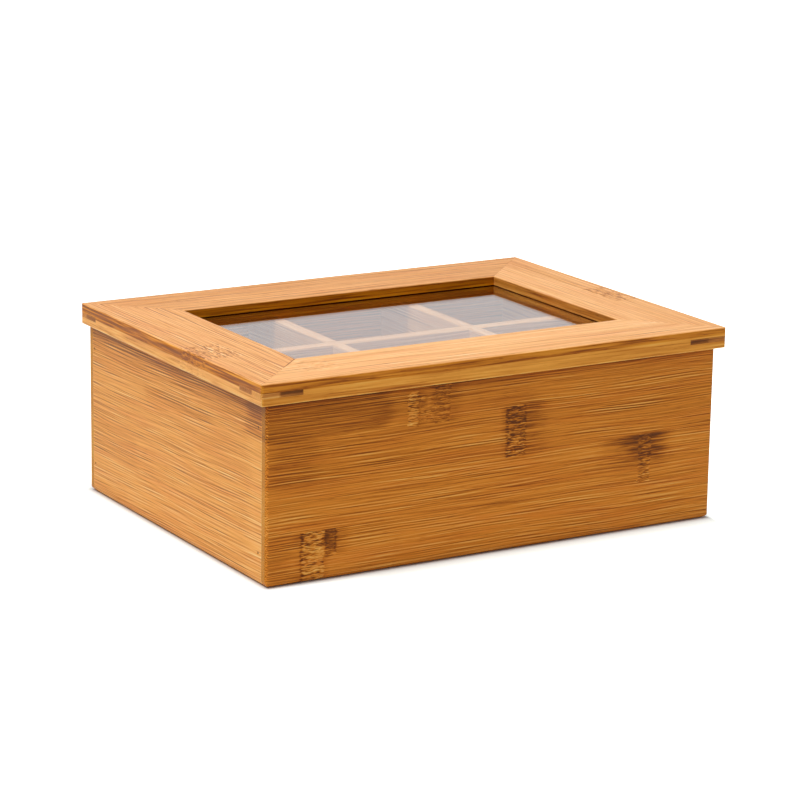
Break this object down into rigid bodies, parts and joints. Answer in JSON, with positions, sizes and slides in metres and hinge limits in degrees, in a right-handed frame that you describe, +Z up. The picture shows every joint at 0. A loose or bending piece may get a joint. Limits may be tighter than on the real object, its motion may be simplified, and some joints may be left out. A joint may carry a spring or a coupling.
{
  "type": "tea bag organizer box",
  "caption": "Bamboo tea bag box with a divided inside and a hinged lid, whose mitred and keyed frame holds a clear window.",
  "frame": {"origin": "bottom centre of the whole box, hinge knuckles included", "axes": "+X to the right along the front, +Y from the front to the hinges, +Z up"},
  "size_m": [0.217, 0.1641, 0.082],
  "materials": {
    "bamboo_front": "satin lacquered bamboo, amber",
    "bamboo_side": "satin lacquered bamboo, golden",
    "bamboo_inside": "satin lacquered bamboo, pale",
    "bamboo_lid": "satin lacquered bamboo, pale peach",
    "bamboo_key": "dark bamboo",
    "clear_pane": "clear polished acrylic",
    "hinge_brass": "satin brass plate",
    "brad_steel": "dulled steel"
  },
  "bodies": {
    "box": {"front_panel": "bamboo_front", "back_panel": "bamboo_front", "left_panel": "bamboo_side", "right_panel": "bamboo_side", "bottom_panel": "bamboo_inside", "long_divider": "bamboo_inside", "cross_divider_left": "bamboo_inside", "cross_divider_right": "bamboo_inside", "left_corner_brads": "brad_steel", "right_corner_brads": "brad_steel", "body_hinge_leaf_left": "hinge_brass", "body_hinge_leaf_right": "hinge_brass", "hinge_pin_left": "hinge_brass", "hinge_pin_right": "hinge_brass", "body_hinge_screws": "hinge_brass"},
    "lid": {"lid_front_rail": "bamboo_lid", "lid_back_rail": "bamboo_lid", "lid_left_stile": "bamboo_lid", "lid_right_stile": "bamboo_lid", "corner_key_front_left": "bamboo_key", "corner_key_front_right": "bamboo_key", "corner_key_back_left": "bamboo_key", "corner_key_back_right": "bamboo_key", "window_pane": "clear_pane", "lid_hinge_leaf_left": "hinge_brass", "lid_hinge_leaf_right": "hinge_brass", "lid_hinge_screws": "hinge_brass"}
  },
  "joints": [
    {"name": "lid_hinge", "type": "hinge", "parent": "box", "child": "lid", "pos_m": [0, 0.08035, 0.0731], "axis": [-1, 0, 0], "range_deg": [0, 105]}
  ]
}
